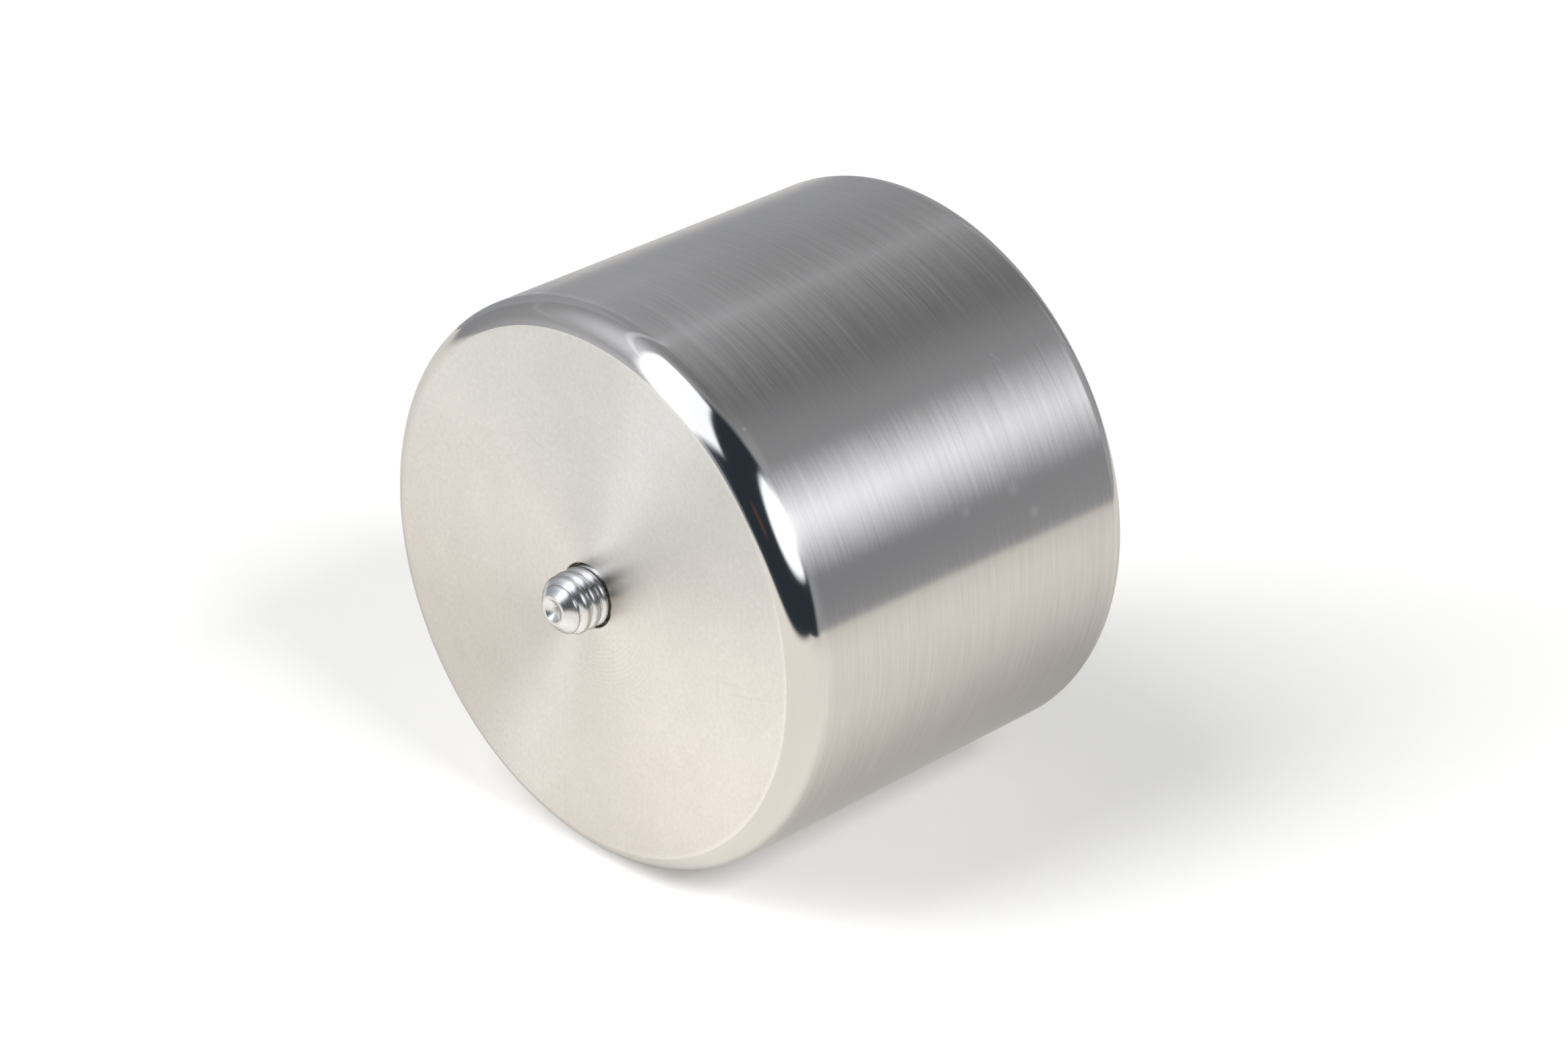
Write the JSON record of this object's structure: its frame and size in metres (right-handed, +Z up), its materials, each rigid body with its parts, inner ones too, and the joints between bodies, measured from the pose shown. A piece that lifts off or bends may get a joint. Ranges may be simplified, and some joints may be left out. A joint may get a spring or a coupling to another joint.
{
  "type": "balancing weight",
  "caption": "Round steel balancing weight with a short threaded stud on its seating face and a tapped hole in its rear face.",
  "frame": {"origin": "centre of the flat seating face, on the weight's axis", "axes": "+Y along the weight's axis from the seating face to the rear face, so the stud points along -Y; +Z up, with the weight lying on its side"},
  "size_m": [0.06, 0.0506, 0.06],
  "materials": {
    "body_steel": "side brushed round the axis, faces turned, edges polished",
    "stud_steel": "polished",
    "nylon": "matt"
  },
  "bodies": {
    "weight": {"weight_body": "body_steel"},
    "stud": {"threaded_stud": "stud_steel", "locking_pellet": "nylon"}
  },
  "joints": [
    {"name": "stud_adjust", "type": "slide", "parent": "weight", "child": "stud", "axis": [0, -1, 0], "range_m": [-0.0046, 0.00175]}
  ]
}
